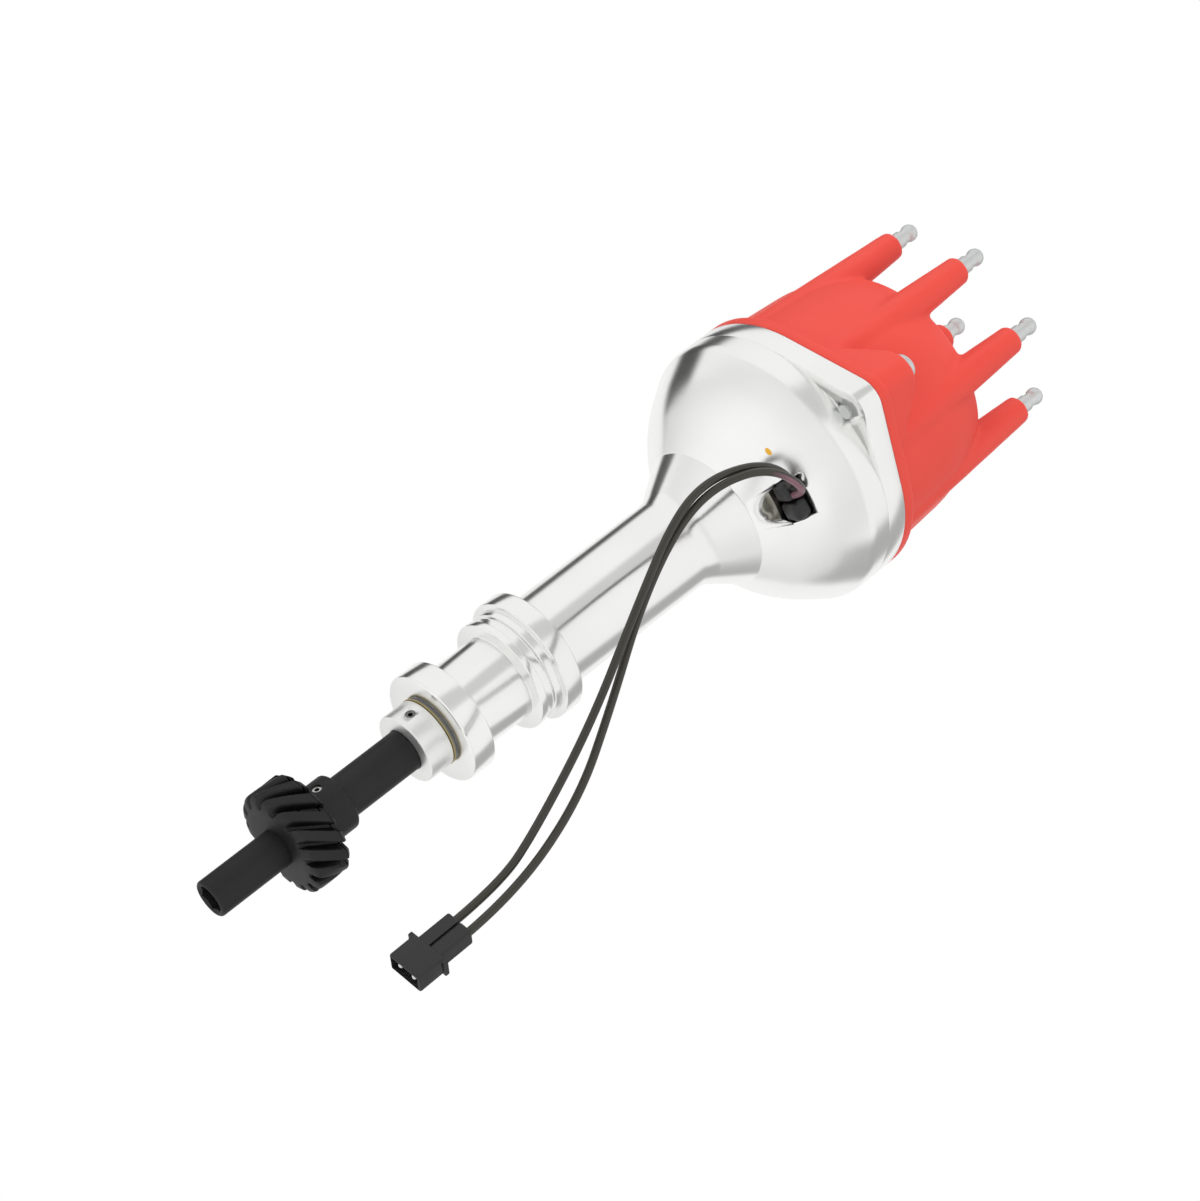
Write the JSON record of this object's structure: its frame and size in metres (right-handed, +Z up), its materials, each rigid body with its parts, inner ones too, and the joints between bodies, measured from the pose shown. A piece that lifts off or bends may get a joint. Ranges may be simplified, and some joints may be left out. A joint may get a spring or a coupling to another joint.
{
  "type": "ignition distributor",
  "caption": "Billet aluminium ignition distributor with a red screw-down cap, post terminals, a helical drive gear and a short two-wire pickup lead",
  "frame": {"origin": "on the shaft's axis at the face under the seat flange, which rests on the engine block", "axes": "+Z up the shaft towards the cap, -Y towards the clamp lobe beside the wire outlet, +X completes the right-handed frame"},
  "size_m": [0.102, 0.115, 0.3278],
  "materials": {
    "turned_aluminium": "satin",
    "black_steel": "satin",
    "dark_steel": "satin",
    "bright_steel": "satin",
    "spring_steel": "satin",
    "plated_steel": "satin",
    "bronze": "satin",
    "brass": "satin",
    "black_fibre": "matte",
    "red_plastic": "satin",
    "bright_terminal": "polished",
    "carbon": "matte",
    "magnet": "matte",
    "black_rubber": "matte",
    "black_plastic": "satin",
    "lead_jacket": "satin",
    "wire_jacket": "satin"
  },
  "bodies": {
    "housing": {"housing": "turned_aluminium", "lower_bushing": "bronze", "bearing_outer_race": "bright_steel", "bearing_balls": "bright_steel", "pickup_plate": "plated_steel", "plate_screws": "plated_steel", "pickup_coil": "black_plastic", "pickup_pole": "plated_steel", "pickup_magnet": "magnet", "pickup_leads": "lead_jacket", "grommet": "black_rubber", "signal_wire_a": "wire_jacket", "signal_wire_b": "wire_jacket", "plug_housing": "black_plastic", "plug_pins": "bright_terminal", "cap": "red_plastic", "cap_posts": "red_plastic", "plug_terminals": "bright_terminal", "coil_terminal": "bright_terminal", "carbon_button": "carbon", "cap_screws": "plated_steel"},
    "shaft": {"main_shaft": "black_steel", "shaft_circlip": "spring_steel", "drive_gear": "black_steel", "gear_roll_pin": "bright_steel", "thrust_collar": "dark_steel", "collar_roll_pin": "bright_steel", "thrust_shim": "brass", "thrust_washer": "black_fibre", "bearing_inner_race": "bright_steel", "centre_bar": "plated_steel", "bar_screw": "plated_steel"},
    "advance": {"advance_sleeve": "plated_steel", "reluctor": "plated_steel", "advance_plate": "plated_steel", "weight_pivots": "bright_steel", "weight_clips": "spring_steel", "spring_posts": "bright_steel", "rotor_standoffs": "bright_steel", "rotor": "red_plastic", "rotor_blade": "brass", "rotor_leaf": "brass", "rotor_screws": "plated_steel", "spring_a": "spring_steel", "spring_b": "spring_steel"},
    "weight_a": {"weight_a": "plated_steel"},
    "weight_b": {"weight_b": "plated_steel"}
  },
  "joints": [
    {"name": "shaft_spin", "type": "hinge", "parent": "housing", "child": "shaft", "pos_m": [0, 0, 0], "axis": [0, 0, 1], "continuous": true},
    {"name": "advance", "type": "hinge", "parent": "shaft", "child": "advance", "pos_m": [0, 0, 0.096], "axis": [0, 0, 1], "range_deg": [0, 12], "stiffness_Nm_per_rad": 0.5},
    {"name": "weight_a_swing", "type": "hinge", "parent": "advance", "child": "weight_a", "pos_m": [0.015, 0.012, 0.1078], "axis": [0, 0, 1], "range_deg": [0, 20]},
    {"name": "weight_b_swing", "type": "hinge", "parent": "advance", "child": "weight_b", "pos_m": [-0.015, -0.012, 0.1078], "axis": [0, 0, 1], "range_deg": [0, 20]}
  ],
  "couplings": [
    {"joint": "weight_a_swing", "follows": "advance", "ratio": 1.6667},
    {"joint": "weight_b_swing", "follows": "advance", "ratio": 1.6667}
  ]
}
